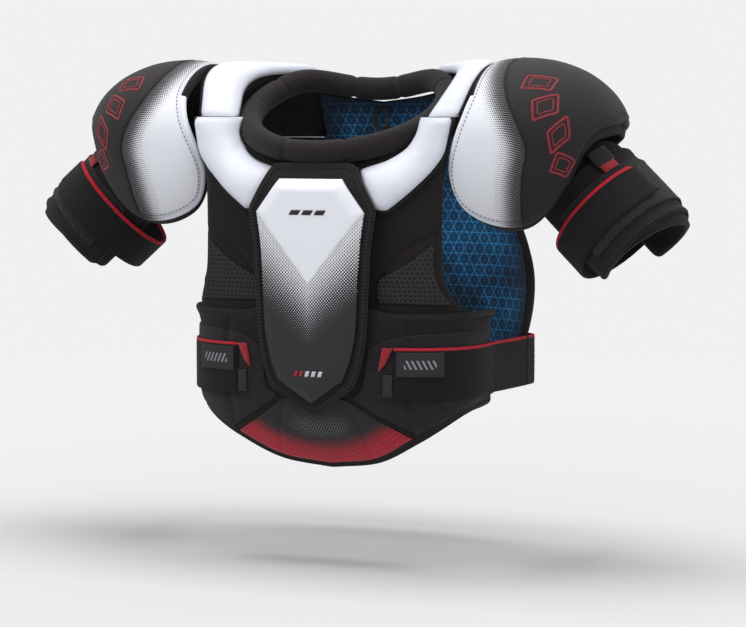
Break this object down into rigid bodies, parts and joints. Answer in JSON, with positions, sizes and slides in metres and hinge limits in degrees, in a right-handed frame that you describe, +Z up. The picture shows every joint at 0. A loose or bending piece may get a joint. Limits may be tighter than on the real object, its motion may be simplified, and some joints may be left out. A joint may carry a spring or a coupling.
{
  "type": "hockey shoulder pads",
  "caption": "Padded torso yoke with moulded shoulder caps, sternum plate, flared belly pad, collar roll, strapped upper arm guards and elastic side straps.",
  "frame": {"origin": "on the mid plane, level with the undersides of the shoulder arches, in the coronal plane of the neck ring", "axes": "+Z up the wearer's spine, the wearer faces -Y, +X towards the wearer's left shoulder"},
  "size_m": [0.689, 0.25, 0.4005],
  "materials": {
    "black_knit": "black padded knit over foam, sewn edges",
    "white_fabric": "smooth white synthetic fabric over foam",
    "collar_fabric": "soft dark brushed neoprene roll with cross seams",
    "blue_liner": "thin black lining printed with blue triangles",
    "grey_foam": "dark grey perforated foam sheet",
    "black_binding": "dark flexible pad with sewn binding round its edge",
    "white_plastic": "white covered moulded plate fading to dark grey",
    "black_plastic": "black moulded insert",
    "loop_pile": "brushed black loop pile",
    "red_print": "grey to red dotted print on padded fabric",
    "black_elastic": "ribbed black elastic with a thin red edge",
    "red_tab": "red moulded fabric finger tab",
    "label": "plain dark sewn label",
    "black_webbing": "black woven webbing",
    "hook_sheet": "dark grey hook fastener sheet"
  },
  "bodies": {
    "torso": {"back_foam": "black_knit", "back_liner": "blue_liner", "belly_pad": "black_knit", "belly_print": "red_print", "chest_foam": "black_knit", "chest_liner": "blue_liner", "collar_back": "collar_fabric", "collar_front": "collar_fabric", "left_arch_foam": "black_knit", "left_belly_loop": "loop_pile", "left_clavicle_pad": "white_fabric", "left_clavicle_top": "white_fabric", "left_scapula_pad": "grey_foam", "left_strap_anchor": "black_elastic", "left_vent_panel": "grey_foam", "lower_back_pad": "grey_foam", "right_arch_foam": "black_knit", "right_belly_loop": "loop_pile", "right_clavicle_pad": "white_fabric", "right_clavicle_top": "white_fabric", "right_scapula_pad": "grey_foam", "right_strap_anchor": "black_elastic", "right_vent_panel": "grey_foam", "spine_plate": "black_plastic", "sternum_foam": "black_knit"},
    "sternum": {"sternum_base": "black_binding", "sternum_plate": "white_plastic"},
    "hang_loop": {"hang_loop": "black_webbing"},
    "left_cap": {"left_cap_pad": "black_binding", "left_cap_insert": "black_plastic", "left_cap_cover_white": "white_fabric", "left_cap_cover_black": "black_knit"},
    "left_arm_hanger": {"left_arm_hanger": "black_webbing", "left_arm_hanger_pull": "red_tab"},
    "left_arm_guard": {"left_arm_foam": "black_knit", "left_arm_shell": "black_plastic", "left_arm_loop_patch": "loop_pile", "left_arm_strap_base": "black_elastic"},
    "left_arm_strap": {"left_arm_strap": "black_elastic", "left_arm_strap_hook": "hook_sheet"},
    "left_belly_strap": {"left_belly_strap": "black_elastic", "left_belly_strap_label": "label", "left_belly_strap_pull": "red_tab", "left_belly_strap_hook": "hook_sheet"},
    "right_cap": {"right_cap_pad": "black_binding", "right_cap_insert": "black_plastic", "right_cap_cover_white": "white_fabric", "right_cap_cover_black": "black_knit"},
    "right_arm_hanger": {"right_arm_hanger": "black_webbing", "right_arm_hanger_pull": "red_tab"},
    "right_arm_guard": {"right_arm_foam": "black_knit", "right_arm_shell": "black_plastic", "right_arm_loop_patch": "loop_pile", "right_arm_strap_base": "black_elastic"},
    "right_arm_strap": {"right_arm_strap": "black_elastic", "right_arm_strap_hook": "hook_sheet"},
    "right_belly_strap": {"right_belly_strap": "black_elastic", "right_belly_strap_label": "label", "right_belly_strap_pull": "red_tab", "right_belly_strap_hook": "hook_sheet"}
  },
  "joints": [
    {"name": "sternum_lift", "type": "hinge", "parent": "torso", "child": "sternum", "pos_m": [0, -0.0985, -0.086], "axis": [-1, 0, 0], "range_deg": [0, 35]},
    {"name": "hang_loop_swing", "type": "hinge", "parent": "torso", "child": "hang_loop", "pos_m": [0, 0.0937, -0.028], "axis": [1, 0, 0], "range_deg": [-60, 0]},
    {"name": "left_cap_lift", "type": "hinge", "parent": "torso", "child": "left_cap", "pos_m": [0.15, 0.015, 0.012], "axis": [0, -1, 0], "range_deg": [0, 50]},
    {"name": "left_arm_swing", "type": "hinge", "parent": "left_cap", "child": "left_arm_hanger", "pos_m": [0.268, 0.02, -0.057], "axis": [0, -1, 0], "range_deg": [0, 20]},
    {"name": "left_arm_slide", "type": "slide", "parent": "left_arm_hanger", "child": "left_arm_guard", "axis": [0.7188, -0.1498, -0.6789], "range_m": [0, 0.02]},
    {"name": "left_arm_strap_open", "type": "hinge", "parent": "left_arm_guard", "child": "left_arm_strap", "pos_m": [0.22002, 0.04413, -0.16636], "axis": [0.7188, -0.1498, -0.6789], "range_deg": [0, 70]},
    {"name": "left_belly_strap_open", "type": "hinge", "parent": "torso", "child": "left_belly_strap", "pos_m": [0.164, 0.075, -0.285], "axis": [0, 0, 1], "range_deg": [0, 90]},
    {"name": "right_cap_lift", "type": "hinge", "parent": "torso", "child": "right_cap", "pos_m": [-0.15, 0.015, 0.012], "axis": [0, 1, 0], "range_deg": [0, 50]},
    {"name": "right_arm_swing", "type": "hinge", "parent": "right_cap", "child": "right_arm_hanger", "pos_m": [-0.268, 0.02, -0.057], "axis": [0, 1, 0], "range_deg": [0, 20]},
    {"name": "right_arm_slide", "type": "slide", "parent": "right_arm_hanger", "child": "right_arm_guard", "axis": [-0.7188, -0.1498, -0.6789], "range_m": [0, 0.02]},
    {"name": "right_arm_strap_open", "type": "hinge", "parent": "right_arm_guard", "child": "right_arm_strap", "pos_m": [-0.22002, 0.04413, -0.16636], "axis": [0.7188, 0.1498, 0.6789], "range_deg": [0, 70]},
    {"name": "right_belly_strap_open", "type": "hinge", "parent": "torso", "child": "right_belly_strap", "pos_m": [-0.164, 0.075, -0.285], "axis": [0, 0, -1], "range_deg": [0, 90]}
  ]
}
